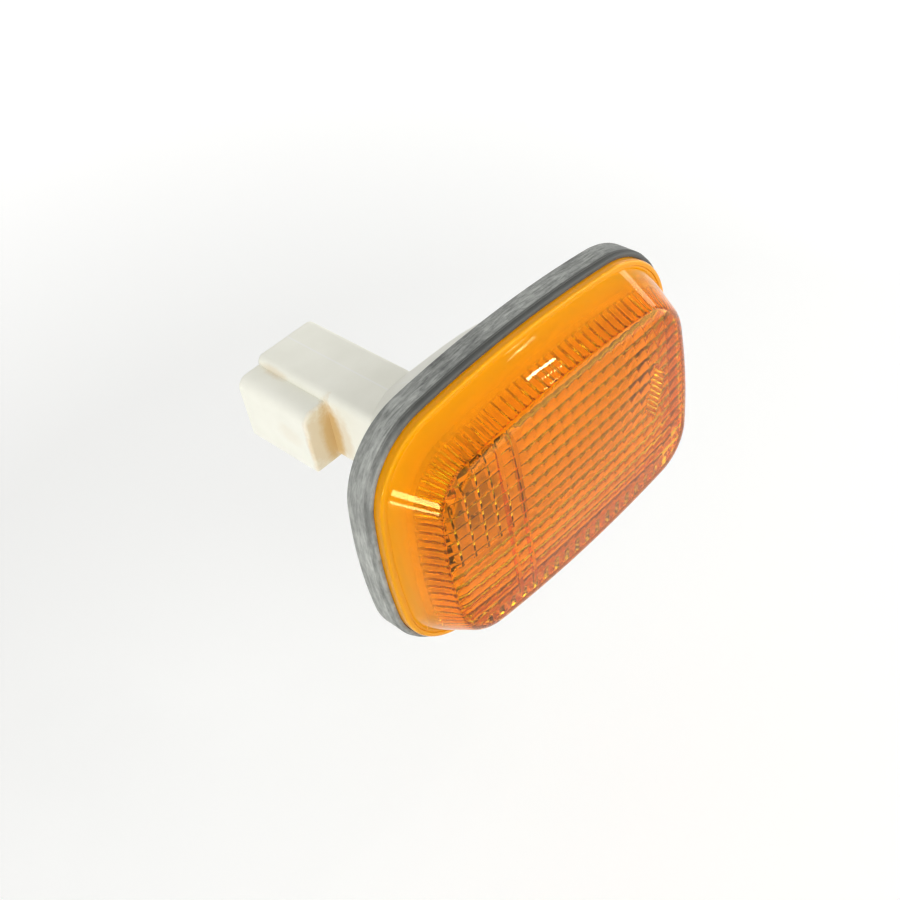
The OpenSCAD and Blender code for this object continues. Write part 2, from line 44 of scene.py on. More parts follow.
# small helpers for objects, edit mode and materials

def deselectAll():
    if bpy.context.object and bpy.context.object.mode != "OBJECT":
        bpy.ops.object.mode_set(mode="OBJECT")
    bpy.ops.object.select_all(action="DESELECT")


def makeActive(piece):
    deselectAll()
    piece.select_set(True)
    bpy.context.view_layer.objects.active = piece


def editPiece(piece, select="DESELECT"):
    makeActive(piece)
    bpy.ops.object.mode_set(mode="EDIT")
    bpy.ops.mesh.select_mode(type="FACE")
    bpy.ops.mesh.select_all(action=select)


def selectFaces(piece, test):
    # leaves edit mode to mark the faces that pass the test, then goes back in
    editPiece(piece)
    bpy.ops.object.mode_set(mode="OBJECT")
    for face in piece.data.polygons:
        face.select = test(face.center / mm, face.normal)
    bpy.ops.object.mode_set(mode="EDIT")


def applyModifier(piece, kind, **settings):
    makeActive(piece)
    modifier = piece.modifiers.new(kind.lower(), kind)
    for key, value in settings.items():
        setattr(modifier, key, value)
    bpy.ops.object.modifier_apply(modifier=modifier.name)


def applyPlace():
    bpy.ops.object.transform_apply(location=True, rotation=True, scale=True)


def pointOutwards():
    bpy.ops.mesh.select_all(action="SELECT")
    bpy.ops.mesh.normals_make_consistent(inside=False)


def combine(piece, tool, operation):
    applyModifier(piece, "BOOLEAN", object=tool, operation=operation, solver="EXACT")
    deselectAll()
    tool.select_set(True)
    bpy.ops.object.delete()


def cutFrom(piece, tool):
    combine(piece, tool, "DIFFERENCE")


def joinTo(piece, tool):
    combine(piece, tool, "UNION")


def finishPiece(piece, name, material, node):
    # takes the place of one CAD node, with its material slot
    makeActive(piece)
    applyPlace()
    bpy.ops.object.shade_smooth_by_angle(angle=math.radians(smoothAngle))
    piece.name = name
    piece.data.name = name
    piece.data.materials.clear()
    piece.data.materials.append(material)
    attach(piece, "root")
    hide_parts(node)
    print("piece", name, len(piece.data.polygons), "faces")


def hexColour(code):
    # sRGB hex to linear
    parts = [int(code[i:i + 2], 16) / 255 for i in (1, 3, 5)]
    return [c / 12.92 if c <= 0.04045 else ((c + 0.055) / 1.055) ** 2.4 for c in parts] + [1.0]


def addNode(tree, kind, inputs=None, **settings):
    node = tree.nodes.new("ShaderNode" + kind)
    for key, value in settings.items():
        setattr(node, key, value)
    for key, value in (inputs or {}).items():
        if isinstance(value, bpy.types.NodeSocket):
            tree.links.new(value, node.inputs[key])
        else:
            node.inputs[key].default_value = value
    return node


def newMaterial(name):
    material = bpy.data.materials.new(name)
    material.use_nodes = True
    material.node_tree.nodes.clear()
    return material, material.node_tree


def finishMaterial(tree, shader):
    addNode(tree, "OutputMaterial", {"Surface": shader.outputs[0]})


def seenByCamera(tree):
    # 1 for what the camera sees straight, in a reflection or through the lens, and 0 for light that falls on things
    path = addNode(tree, "LightPath")
    seen = addNode(tree, "Math", {0: path.outputs["Is Camera Ray"], 1: path.outputs["Is Glossy Ray"]},
                   operation="MAXIMUM")
    return addNode(tree, "Math", {0: seen.outputs[0], 1: path.outputs["Is Transmission Ray"]}, operation="MAXIMUM")


# camera, lamps, floor

view = {"azimuth": -38.53, "elevation": 41.82, "roll": -11.28, "right": 10.73, "up": 2.84, "distance": 232.03,
        "lens": 52.77, "sensor": 36}  # degrees, then mm

a, e, r = (math.radians(view[key]) for key in ("azimuth", "elevation", "roll"))
back = Vector((math.sin(a) * math.cos(e), -math.cos(a) * math.cos(e), math.sin(e)))
level = Vector((math.cos(a), math.sin(a), 0))
upright = back.cross(level)
rightward = level * math.cos(r) + upright * math.sin(r)
upward = upright * math.cos(r) - level * math.sin(r)
standpoint = (rightward * -view["right"] + upward * -view["up"] + back * view["distance"]) * mm

deselectAll()
bpy.ops.object.camera_add(location=standpoint)
camera = bpy.context.object
camera.rotation_mode = "QUATERNION"
camera.rotation_quaternion = Matrix((rightward, upward, back)).transposed().to_quaternion()
camera.data.lens = view["lens"]
camera.data.sensor_width = view["sensor"]
camera.data.clip_start = 10 * mm
bpy.context.scene.camera = camera

lamps = {  # place in mm, size in mm, power in W, and the way its longer side lies
    "windowUpper": {"place": (-540, -135, 50), "size": (92, 82), "power": 0.62},
    "windowLower": {"place": (-543, -118, -73), "size": (92, 34), "power": 0.23},
    "wallFront": {"place": (-350, -840, 400), "size": (1100, 1100), "power": 5.8},
    "wallRight": {"place": (560, -610, 60), "size": (900, 900), "power": 8.0},
    "ceiling": {"place": (40, 300, 560), "size": (700, 700), "power": 0.2},
    "lampRight": {"place": (450, -20, 230), "size": (150, 90), "power": 0.2},
    "tubeLong": {"place": (235, -100, 394), "size": (44, 1.2), "power": 0.018, "along": (28, 5, -13)},
    "tubeShort": {"place": (241, -109, 388), "size": (32, 1.0), "power": 0.011, "along": (20, -2, -12)},
    "tubeFront": {"place": (232, -172, 372), "size": (30, 6), "power": 0.04, "along": (27, 8, -4)},
}


def addLamp(name, place, size, power, along=(0, 1, 0)):
    # an area lamp that shines at the origin
    deselectAll()
    away = Vector(place).normalized()
    longer = Vector(along)
    longer = (longer - away * longer.dot(away)).normalized()
    turn = Matrix((longer, away.cross(longer), away)).transposed()
    bpy.ops.object.light_add(type="AREA", location=Vector(place) * mm, rotation=turn.to_euler())
    lamp = bpy.context.object
    lamp.name = name
    lamp.data.shape = "RECTANGLE"
    lamp.data.size, lamp.data.size_y = size[0] * mm, size[1] * mm
    lamp.data.energy = power


for name, values in lamps.items():
    addLamp(name, **values)

surround = {"light": 0.45, "seen": 1.0, "white": "#FFFFFF", "floorLevel": -88.8, "floorSize": 6000,
            "floorColour": "#F0F0EE", "floorRoughness": 0.9,
            "glowNear": 0.17, "glowFar": 0.55, "near": 180, "far": 480}  # the floor glows more away from the lamp

world = bpy.data.worlds.new("studio")
bpy.context.scene.world = world
world.use_nodes = True
tree = world.node_tree
tree.nodes.clear()
seen = seenByCamera(tree)
soft = addNode(tree, "Background", {"Color": hexColour(surround["white"]), "Strength": surround["light"]})
white = addNode(tree, "Background", {"Color": hexColour(surround["white"]), "Strength": surround["seen"]})
mixed = addNode(tree, "MixShader", {0: seen.outputs[0], 1: soft.outputs[0], 2: white.outputs[0]})
addNode(tree, "OutputWorld", {"Surface": mixed.outputs[0]})

deselectAll()
bpy.ops.mesh.primitive_plane_add(size=surround["floorSize"] * mm, location=(0, 0, surround["floorLevel"] * mm))
floor = bpy.context.object
floor.name = "floor"
floorPaper, tree = newMaterial("matt white floor paper")
seen = seenByCamera(tree)
where = addNode(tree, "TexCoord")
away = addNode(tree, "VectorMath", {0: where.outputs["Object"]}, operation="LENGTH")
spread = addNode(tree, "MapRange", {"Value": away.outputs["Value"], "From Min": surround["near"] * mm,
                                    "From Max": surround["far"] * mm, "To Min": surround["glowNear"],
                                    "To Max": surround["glowFar"]})
glow = addNode(tree, "Math", {0: seen.outputs[0], 1: spread.outputs[0]}, operation="MULTIPLY")
paper = addNode(tree, "BsdfPrincipled", {"Base Color": hexColour(surround["floorColour"]), "Specular IOR Level": 0.0,
                                         "Roughness": surround["floorRoughness"],
                                         "Emission Color": hexColour(surround["white"]),
                                         "Emission Strength": glow.outputs[0]})
finishMaterial(tree, paper)
floor.data.materials.append(floorPaper)
bpy.context.scene.view_settings.view_transform = "Standard"
print("camera, lamps and floor set")


# materials

# PMMA, injection moulded and polished: clear amber, sharp highlights, colour deepens with each wall the light crosses,
# and the flange is clouded where it was welded to the rim
amber = {"colour": "#FFB600", "highlight": "#FFC878", "ior": 1.49, "clear": 0.98, "welded": 0.45,
         "weldFrom": -12.5, "weldTo": -6.7, "hazePitch": 6, "hazeFrom": 0.45, "hazeTo": 0.75, "polished": 0.01,
         "handled": 0.04}  # levels and pitch in mm
amberAcrylic, tree = newMaterial("amber moulded acrylic")
where = addNode(tree, "TexCoord")
haze = addNode(tree, "TexNoise", {"Vector": where.outputs["Object"], "Scale": 1 / (amber["hazePitch"] * mm),
                                  "Detail": 3.0})
rough = addNode(tree, "MapRange", {"Value": haze.outputs["Fac"], "From Min": amber["hazeFrom"],
                                   "From Max": amber["hazeTo"], "To Min": amber["polished"],
                                   "To Max": amber["handled"]})
apart = addNode(tree, "SeparateXYZ", {"Vector": where.outputs["Object"]})
through = addNode(tree, "MapRange", {"Value": apart.outputs["Y"], "From Min": amber["weldFrom"] * mm,
                                     "From Max": amber["weldTo"] * mm, "To Min": amber["clear"],
                                     "To Max": amber["welded"]})
shader = addNode(tree, "BsdfPrincipled", {"Base Color": hexColour(amber["colour"]), "Roughness": rough.outputs[0],
                                          "IOR": amber["ior"], "Transmission Weight": through.outputs[0],
                                          "Specular Tint": hexColour(amber["highlight"])})
finishMaterial(tree, shader)

# EPDM rubber, moulded, aged: mid grey with a chalky bloom that handling has rubbed into streaks along its length,
# and painted shade in dark grey on the front lip beside the lens
# dark is the colour of the painted shade on the front lip
rubber = {"dark": "#353633", "grey": "#595B58", "bloom": "#BDBFB9", "streakLength": 3.0, "streakWidth": 0.5,
          "streakWarp": 0.4, "patch": 11, "chalkFrom": 0.17, "chalkTo": 0.42,
          # lip: where the painted shade lies on the front lip, and how strong it is at each end
          "lipFrom": -3.95, "lipTo": -4.2, "lipShadeStrong": 0.9, "lipShadeFaint": 0.35,
          "paleFrom": -22, "paleTo": -36, "pale": 0.35,  # the end beside the stalk is mixed further towards the bloom colour
          "grain": 0.35, "grainDepth": 0.05, "grainStrength": 0.25, "clean": 0.55, "dry": 0.85}
agedRubber, tree = newMaterial("aged moulded rubber")
where = addNode(tree, "TexCoord")
stretch = addNode(tree, "Mapping", {"Vector": where.outputs["Object"],
                                    "Scale": (1 / (rubber["streakLength"] * mm), 1 / (rubber["streakWidth"] * mm),
                                              1 / (rubber["streakLength"] * mm))})
streaks = addNode(tree, "TexNoise", {"Vector": stretch.outputs[0], "Scale": 1.0, "Detail": 6.0, "Roughness": 0.7,
                                     "Distortion": rubber["streakWarp"]})
patches = addNode(tree, "TexNoise", {"Vector": where.outputs["Object"], "Scale": 1 / (rubber["patch"] * mm),
                                     "Detail": 5.0, "Roughness": 0.65})
chalk = addNode(tree, "Math", {0: streaks.outputs["Fac"], 1: patches.outputs["Fac"]}, operation="MULTIPLY")
apart = addNode(tree, "SeparateXYZ", {"Vector": where.outputs["Object"]})
leftEnd = addNode(tree, "MapRange", {"Value": apart.outputs["X"], "From Min": rubber["paleFrom"] * mm,
                                     "From Max": rubber["paleTo"] * mm, "To Max": rubber["pale"]})
bloom = addNode(tree, "MapRange", {"Value": chalk.outputs[0], "From Min": rubber["chalkFrom"],
                                   "From Max": rubber["chalkTo"]})
amount = addNode(tree, "Math", {0: bloom.outputs[0], 1: leftEnd.outputs[0]}, operation="ADD", use_clamp=True)
worn = addNode(tree, "Mix", {0: amount.outputs[0], 6: hexColour(rubber["grey"]), 7: hexColour(rubber["bloom"])},
               data_type="RGBA")
# painted shade on the front lip, fainter towards the end beside the stalk
front = addNode(tree, "MapRange", {"Value": apart.outputs["Y"], "From Min": rubber["lipFrom"] * mm,
                                   "From Max": rubber["lipTo"] * mm})
lipShadeFade = addNode(tree, "MapRange", {"Value": apart.outputs["X"], "From Min": rubber["paleFrom"] * mm,
                                     "From Max": rubber["paleTo"] * mm, "To Min": rubber["lipShadeStrong"],
                                     "To Max": rubber["lipShadeFaint"]})
front = addNode(tree, "Math", {0: front.outputs[0], 1: lipShadeFade.outputs[0]}, operation="MULTIPLY")
skin = addNode(tree, "Mix", {0: front.outputs[0], 6: worn.outputs[2], 7: hexColour(rubber["dark"])}, data_type="RGBA")
grain = addNode(tree, "TexNoise", {"Vector": where.outputs["Object"], "Scale": 1 / (rubber["grain"] * mm),
                                   "Detail": 3.0})
relief = addNode(tree, "Bump", {"Height": grain.outputs["Fac"], "Strength": rubber["grainStrength"],
                                "Distance": rubber["grainDepth"] * mm})
dry = addNode(tree, "MapRange", {"Value": amount.outputs[0], "To Min": rubber["clean"], "To Max": rubber["dry"]})
shader = addNode(tree, "BsdfPrincipled", {"Base Color": skin.outputs[2], "Roughness": dry.outputs[0],
                                          "Normal": relief.outputs[0]})
finishMaterial(tree, shader)

# Polypropylene, moulded: off-white with a satin surface, a brown stain in the corner beside the connector, a painted
# shadow inside the bowl, below the bulb, and a fine parting line along the stalk's top, painted white as its highlight
plastic = {"colour": "#FAF9EC", "shade": "#ECEBDC", "stain": "#D2AB62", "cloudPitch": 9, "cloudFrom": 0.4,
           "cloudTo": 0.75, "cloudAmount": 0.5, "ior": 1.49, "roughness": 0.42,
           "raggedPitch": 2.2, "raggedness": 0.9, "markRim": 1.5, "markFull": 0.95,
           "stains": (  # centre and reach in mm, strength
               ((-19.6, 28.4, -1.2), (6.4, 1.6, 10.5), 0.52),
               ((-17.7, 28.2, -1.4), (2.6, 2.6, 8.4), 0.72),
               ((-17.3, 42.8, 6.4), (1.4, 4.6, 1.0), 0.25),
               ((-17.2, 25.6, -1.5), (1.6, 2.6, 7.0), 0.28),
               ((-22.8, 34.5, -1.0), (1.5, 4.0, 2.6), 0.1)),
           # a painted shadow of the bulb on the bowl's floor, in dark olive
           "bulbShadow": ((-7, 5, -13.6), (9, 8, 2.4), 0.6), "bulbShadowColour": "#4A5020",
           # parting line: its place and width, and the white of its painted highlight
           "partingLine": -9.7, "partingWidth": 0.16, "partingAbove": 7.6, "parting": "#FFFFFF", "partingGlint": 0.35,
           "ripple": 0.5, "rippleDepth": 0.03, "rippleStrength": 0.12}
whitePlastic, tree = newMaterial("off-white moulded polypropylene")
where = addNode(tree, "TexCoord")
cloud = addNode(tree, "TexNoise", {"Vector": where.outputs["Object"], "Scale": 1 / (plastic["cloudPitch"] * mm),
                                   "Detail": 4.0})
tone = addNode(tree, "MapRange", {"Value": cloud.outputs["Fac"], "From Min": plastic["cloudFrom"],
                                  "From Max": plastic["cloudTo"], "To Max": plastic["cloudAmount"]})
colour = addNode(tree, "Mix", {0: tone.outputs[0], 6: hexColour(plastic["colour"]), 7: hexColour(plastic["shade"])},
                 data_type="RGBA")
ragged = addNode(tree, "TexNoise", {"Vector": where.outputs["Object"], "Scale": 1 / (plastic["raggedPitch"] * mm),
                                    "Detail": 5.0, "Roughness": 0.7})
# the real stains, and the painted shadow below the bulb, each blended in round its centre with a ragged edge
stainsAndShadow = [(*mark, plastic["stain"]) for mark in plastic["stains"]]
stainsAndShadow.append((*plastic["bulbShadow"], plastic["bulbShadowColour"]))
for centre, reach, strength, stainAndShadowColour in stainsAndShadow:
    scale = [1 / (k * mm) for k in reach]
    nearby = addNode(tree, "Mapping", {"Vector": where.outputs["Object"], "Scale": scale,
                                       "Location": [-c * mm * s for c, s in zip(centre, scale)]})
    away = addNode(tree, "VectorMath", {0: nearby.outputs[0]}, operation="LENGTH")
    uneven = addNode(tree, "Math", {0: ragged.outputs["Fac"], 1: plastic["raggedness"], 2: away.outputs["Value"]},
                     operation="MULTIPLY_ADD")
    amount = addNode(tree, "MapRange", {"Value": uneven.outputs[0], "From Min": plastic["markRim"],
                                        "From Max": plastic["markFull"], "To Max": strength})
    colour = addNode(tree, "Mix", {0: amount.outputs[0], 6: colour.outputs[2], 7: hexColour(stainAndShadowColour)},
                     data_type="RGBA")
apart = addNode(tree, "SeparateXYZ", {"Vector": where.outputs["Object"]})
# the real parting line along the stalk's top, drawn as a painted highlight: white at part strength over the plastic
onLine = addNode(tree, "Math", {0: apart.outputs["X"], 1: plastic["partingLine"] * mm,
                                2: plastic["partingWidth"] * mm}, operation="COMPARE")
onTop = addNode(tree, "Math", {0: apart.outputs["Z"], 1: plastic["partingAbove"] * mm}, operation="GREATER_THAN")
line = addNode(tree, "Math", {0: onLine.outputs[0], 1: onTop.outputs[0]}, operation="MULTIPLY")
paintedGlintLine = addNode(tree, "Math", {0: line.outputs[0], 1: plastic["partingGlint"]}, operation="MULTIPLY")
colour = addNode(tree, "Mix", {0: paintedGlintLine.outputs[0], 6: colour.outputs[2], 7: hexColour(plastic["parting"])},
                 data_type="RGBA")
ripple = addNode(tree, "TexNoise", {"Vector": where.outputs["Object"], "Scale": 1 / (plastic["ripple"] * mm),
                                    "Detail": 2.0})
relief = addNode(tree, "Bump", {"Height": ripple.outputs["Fac"], "Strength": plastic["rippleStrength"],
                                "Distance": plastic["rippleDepth"] * mm})
shader = addNode(tree, "BsdfPrincipled", {"Base Color": colour.outputs[2], "Roughness": plastic["roughness"],
                                          "IOR": plastic["ior"], "Normal": relief.outputs[0]})
finishMaterial(tree, shader)

# Soda-lime glass, blown and pinched: clear, with a faint ripple all over
glass = {"colour": "#F4F8F8", "ior": 1.52, "ripple": 3, "rippleDepth": 0.1, "rippleStrength": 0.15}
bulbGlass, tree = newMaterial("clear blown bulb glass")
where = addNode(tree, "TexCoord")
ripple = addNode(tree, "TexNoise", {"Vector": where.outputs["Object"], "Scale": 1 / (glass["ripple"] * mm),
                                    "Detail": 1.0})
relief = addNode(tree, "Bump", {"Height": ripple.outputs["Fac"], "Strength": glass["rippleStrength"],
                                "Distance": glass["rippleDepth"] * mm})
shader = addNode(tree, "BsdfPrincipled", {"Base Color": hexColour(glass["colour"]), "Roughness": 0.0,
                                          "IOR": glass["ior"], "Transmission Weight": 1.0,
                                          "Normal": relief.outputs[0]})
finishMaterial(tree, shader)


def addMetal(name, light, dark, pitch, smooth, dull):
    # drawn or rolled metal: light where it is clean, dark and duller where it has tarnished, in spots of a size in mm
    material, tree = newMaterial(name)
    where = addNode(tree, "TexCoord")
    tarnish = addNode(tree, "TexNoise", {"Vector": where.outputs["Object"], "Scale": 1 / (pitch * mm), "Detail": 5.0})
    amount = addNode(tree, "MapRange", {"Value": tarnish.outputs["Fac"], "From Min": 0.4, "From Max": 0.7})
    colour = addNode(tree, "Mix", {0: amount.outputs[0], 6: hexColour(light), 7: hexColour(dark)}, data_type="RGBA")
    rough = addNode(tree, "MapRange", {"Value": amount.outputs[0], "To Min": smooth, "To Max": dull})
    shader = addNode(tree, "BsdfPrincipled", {"Base Color": colour.outputs[2], "Roughness": rough.outputs[0],
                                              "Metallic": 1.0})
    finishMaterial(tree, shader)
    return material


nickelWire = addMetal("drawn nickel lead wire", light="#C4C0B8", dark="#8E8A82", pitch=0.8, smooth=0.25, dull=0.45)
tungstenWire = addMetal("coiled tungsten wire", light="#8C8C90", dark="#5E5E62", pitch=0.5, smooth=0.4, dull=0.6)
rolledBrass = addMetal("rolled brass strip", light="#D9BC6E", dark="#8F7440", pitch=1.5, smooth=0.22, dull=0.5)
print("materials made")


# the bowed outline that the lens, gasket and rim share

outline = {"length": 75, "height": 53.6, "corner": 15.7, "longBow": 193, "endBow": 100,
           "endSteps": 38, "cornerSteps": 68, "longSteps": 74}  # 180 steps a quarter: 30 flutes of 6 steps

# the corner's arc touches both bows, so its centre is found from the distances to theirs
longCentre = Vector((0, outline["height"] / 2 - outline["longBow"]))
endCentre = Vector((outline["length"] / 2 - outline["endBow"], 0))
gap = (endCentre - longCentre).length
longArm, endArm = outline["longBow"] - outline["corner"], outline["endBow"] - outline["corner"]
along = (longArm ** 2 - endArm ** 2 + gap ** 2) / (2 * gap)
beside = math.sqrt(longArm ** 2 - along ** 2)
way = (endCentre - longCentre) / gap
cornerCentre = longCentre + way * along + Vector((way[1], -way[0])) * beside
endAngle = math.atan2(cornerCentre[1], cornerCentre[0] - endCentre[0])
longAngle = math.atan2(cornerCentre[1] - longCentre[1], cornerCentre[0])


def sweep(steps, angle, centre):
    bpy.ops.mesh.spin(steps=steps, dupli=False, angle=angle, center=(centre[0] * mm, 0, centre[1] * mm),
                      axis=(0, 1, 0))


def drawOutline(inset, y, coarse=1):
    # one point swept along the quarter outline, arc by arc, then mirrored twice and filled, facing the front;
    # coarse draws so many steps as one
    deselectAll()
    bpy.ops.mesh.primitive_plane_add(size=mm)
    piece = bpy.context.object
    bpy.ops.object.mode_set(mode="EDIT")
    bpy.ops.mesh.select_mode(type="VERT")
    bpy.ops.mesh.select_all(action="SELECT")
    bpy.ops.mesh.merge(type="CENTER")
    bpy.ops.mesh.select_all(action="SELECT")
    bpy.ops.transform.translate(value=((outline["length"] / 2 - inset) * mm, 0, 0))
    sweep(outline["endSteps"] // coarse, endAngle, endCentre)
    sweep(outline["cornerSteps"] // coarse, longAngle - endAngle, cornerCentre)
    sweep(outline["longSteps"] // coarse, math.pi / 2 - longAngle, longCentre)
    for flip in ((-1, 1, 1), (1, 1, -1)):
        bpy.ops.mesh.select_all(action="SELECT")
        bpy.ops.mesh.duplicate()
        bpy.ops.transform.resize(value=flip, center_override=(0, 0, 0))
        bpy.ops.mesh.select_all(action="SELECT")
        bpy.ops.mesh.remove_doubles(threshold=0.01 * mm)
    bpy.ops.mesh.edge_face_add()
    bpy.ops.transform.translate(value=(0, y * mm, 0))
    bpy.ops.object.mode_set(mode="OBJECT")
    if piece.data.polygons[0].normal.y > 0:
        piece.data.flip_normals()
    return piece


def raiseFace(depth):
    bpy.ops.mesh.extrude_region_move(TRANSFORM_OT_translate={"value": (0, -depth * mm, 0)})


def insetFace(thickness, depth=0.0):
    bpy.ops.mesh.inset(thickness=thickness * mm, depth=depth * mm, use_even_offset=True)


def roundOver(radius, start, end, steps):
    # insets that follow an arc of the section, its angles measured from the front-to-back direction
    for k in range(steps):
        p, q = (start + (end - start) * (k + n) / steps for n in (0, 1))
        insetFace(radius * (math.cos(p) - math.cos(q)), radius * (math.sin(q) - math.sin(p)))


# lens

lens = {"rimInset": 1.1, "rimFront": -3.2, "shoulder": -6.9, "edgeRound": 0.5, "wallInset": 2.6, "faceEdge": -15.8,
        "lean": 27.3, "faceRound": 3.1, "faceInset": 9, "faceSquare": 4, "crown": 1.2, "crownReach": 0.85, "wall": 2.0,
        "shelf": ((0.4, 0), (0.15, -0.2), (0.3, 0), (0.15, 0.2))}  # shares of the shoulder's width, and the rise there
flutes = {"from": -9.29, "full": -9.42, "between": (-10.6, -11.6), "to": -12.9, "end": -13.5,  # levels down the wall
          "height": 0.42, "quarter": 30}  # flutes to a quarter of the outline
cells = {"pitchX": 2.8, "pitchZ": 2.4, "columns": 22, "rows": 17, "valley": 0.05,
         "acrossRow": 0.25, "alongRow": 0.13,  # height of a row's dome, and of a cell's own dome on it
         "fine": 12, "blockFront": -19}  # faces to a cell, and the flat side of the block
windows = {"maxX": -12, "minZ": 0, "height": 0.34, "edge": 3}  # flat-topped cells in front of the bulb
comb = {"x": 21, "z": 2, "run": (-0.46, -0.89), "bar": (0.63, -0.78), "halfRun": 4.4, "halfBar": 2.4, "pitch": 0.92,
        "height": 0.22}  # short slanted bars, stacked down the right of the face
teeth = {"maxZ": -15.4, "height": 0.6}  # the row along the lower edge
ridges = {"uprights": (-13.3, -16.8), "halfLength": 17, "height": 0.7}  # two bars across the rows

leanAngle = math.radians(lens["lean"])


def crownFace(depth, rings):
    # the face drawn in towards its middle, rising as a shallow dome
    sizes = [1 - k / rings * lens["crownReach"] for k in range(rings + 1)]
    for size, nextSize in zip(sizes, sizes[1:]):
        bpy.ops.mesh.extrude_region_move()
        rise = depth * (size ** 2 - nextSize ** 2)
        bpy.ops.transform.resize(value=(nextSize / size, 1, nextSize / size), center_override=(0, 0, 0))
        bpy.ops.transform.translate(value=(0, -rise * mm, 0))


def leaningWall(levels, faceEdge, radius):
    # down the leaning wall through the given levels, then round the edge on to the face
    tangent = radius * math.tan((math.pi / 2 - leanAngle) / 2)
    levels = levels + [faceEdge + tangent * math.cos(leanAngle)]
    for level, nextLevel in zip(levels, levels[1:]):
        insetFace((level - nextLevel) * math.tan(leanAngle), level - nextLevel)
    roundOver(radius, leanAngle, math.pi / 2, 8)


def outerShell():
    piece = drawOutline(lens["rimInset"], lens["rimFront"], 3)
    editPiece(piece, "SELECT")
    raiseFace(lens["rimFront"] - lens["shoulder"] - lens["edgeRound"])
    roundOver(lens["edgeRound"], 0, math.pi / 2, 5)
    shelf = lens["wallInset"] - lens["rimInset"] - lens["edgeRound"]
    for share, rise in lens["shelf"]:
        insetFace(shelf * share, rise)
    leaningWall([lens["shoulder"] - k for k in range(7)], lens["faceEdge"], lens["faceRound"])
    crownFace(lens["crown"], 10)
    bpy.ops.object.mode_set(mode="OBJECT")
    return piece


def quarterRun(point, across):
    # how far along the quarter outline a point lies, as a share of the length across it, and the way in from there
    x, z = abs(point[0]), abs(point[2])
    endTurn = math.atan2(z, x - endCentre[0])
    longTurn = math.atan2(z - longCentre[1], x)
    if endTurn < endAngle:
        centre, run = endCentre, outline["endBow"] * endTurn
    elif longTurn > longAngle:
        centre = longCentre
        run = outline["endBow"] * endAngle + outline["corner"] * (longAngle - endAngle)
        run += outline["longBow"] * (longTurn - longAngle)
    else:
        centre = cornerCentre
        turn = math.atan2(z - cornerCentre[1], x - cornerCentre[0])
        run = outline["endBow"] * endAngle + outline["corner"] * (turn - endAngle)
    inward = (centre - Vector((x, z))).normalized()
    inward = Vector((math.copysign(inward[0], -point[0]), 0, math.copysign(inward[1], -point[2])))
    return run / across, inward


def hollowShell():
    footInset = lens["wallInset"] + lens["wall"]
    piece = drawOutline(footInset, lens["rimFront"])
    editPiece(piece, "SELECT")
    raiseFace(lens["rimFront"] - lens["shoulder"])
    levels = [lens["shoulder"], flutes["from"], flutes["full"], *flutes["between"], flutes["to"], flutes["end"]]
    leaningWall(levels, lens["faceEdge"] + lens["wall"], lens["faceRound"] - lens["wall"])
    crownFace(lens["crown"], 3)
    bpy.ops.object.mode_set(mode="OBJECT")
    # ribs that stand in from the wall, round on top and in the valley between two, and fade out at their end
    across = quarterRun((0, 0, outline["height"] / 2), 1)[0]
    for vertex in piece.data.vertices:
        point = vertex.co / mm
        fade = (point.y - flutes["end"]) / (flutes["to"] - flutes["end"])
        if point.y < flutes["full"] + 0.01 and fade > 0:
            run, inward = quarterRun(point, across)
            rib = math.sin(math.pi * run * flutes["quarter"]) ** 2
            vertex.co += inward * (flutes["height"] * rib * min(1, fade) * mm)
    return piece


def crownLevel(x, z):
    # how far front the hollow's crowned face lies
    halfX, halfZ = (outline[side] / 2 - lens["faceInset"] for side in ("length", "height"))
    reach = (abs(x) / halfX) ** lens["faceSquare"] + (abs(z) / halfZ) ** lens["faceSquare"]
    return lens["faceEdge"] + lens["wall"] - lens["crown"] * (1 - math.sqrt(min(reach, 1)))


def pillowBlock():
    # the grid of a block that is cut from the hollow: rows domed across, and each row domed again cell by cell
    tiny = 1e-6  # so that rounding can't put a point on a cell's edge into the cell before it
    runX, runZ, barX, barZ = *comb["run"], *comb["bar"]
    skew = runX * barZ - runZ * barX
    deselectAll()
    bpy.ops.mesh.primitive_grid_add(x_subdivisions=cells["columns"] * cells["fine"],
                                    y_subdivisions=cells["rows"] * cells["fine"], size=mm,
                                    rotation=(-math.pi / 2, 0, 0))
    piece = bpy.context.object
    piece.scale = (cells["columns"] * cells["pitchX"], cells["rows"] * cells["pitchZ"], 1)
    applyPlace()
    for vertex in piece.data.vertices:
        x, z = vertex.co.x / mm, vertex.co.z / mm
        u = 2 * ((x / cells["pitchX"] + cells["columns"] / 2 + tiny) % 1) - 1
        w = 2 * ((z / cells["pitchZ"] + cells["rows"] / 2 + tiny) % 1) - 1
        dome = cells["alongRow"] * (1 - u * u) + cells["acrossRow"] * (1 - w * w)
        x0, z0 = x - comb["x"], z - comb["z"]
        downComb = (x0 * barZ - z0 * barX) / skew
        alongBar = (z0 * runX - x0 * runZ) / skew
        if x < windows["maxX"] and z > windows["minZ"]:
            dome = windows["height"]
            for offCentre in (u, w):
                dome *= min(1, windows["edge"] * (1 - abs(offCentre)))
        if z < teeth["maxZ"]:
            dome = teeth["height"] * (1 - abs(u))
        if abs(downComb) < comb["halfRun"] and abs(alongBar) < comb["halfBar"]:
            dome = comb["height"] * abs(math.sin(math.pi * downComb / comb["pitch"]))
        vertex.co.y = (crownLevel(x, z) + cells["valley"] + dome) * mm
    editPiece(piece)
    bpy.ops.mesh.select_mode(type="EDGE")
    bpy.ops.mesh.select_non_manifold(extend=False)
    bpy.ops.mesh.extrude_edges_move()
    bpy.ops.transform.resize(value=(1, 0, 1), center_override=(0, cells["blockFront"] * mm, 0))
    bpy.ops.mesh.edge_face_add()
    pointOutwards()
    bpy.ops.object.mode_set(mode="OBJECT")
    return piece


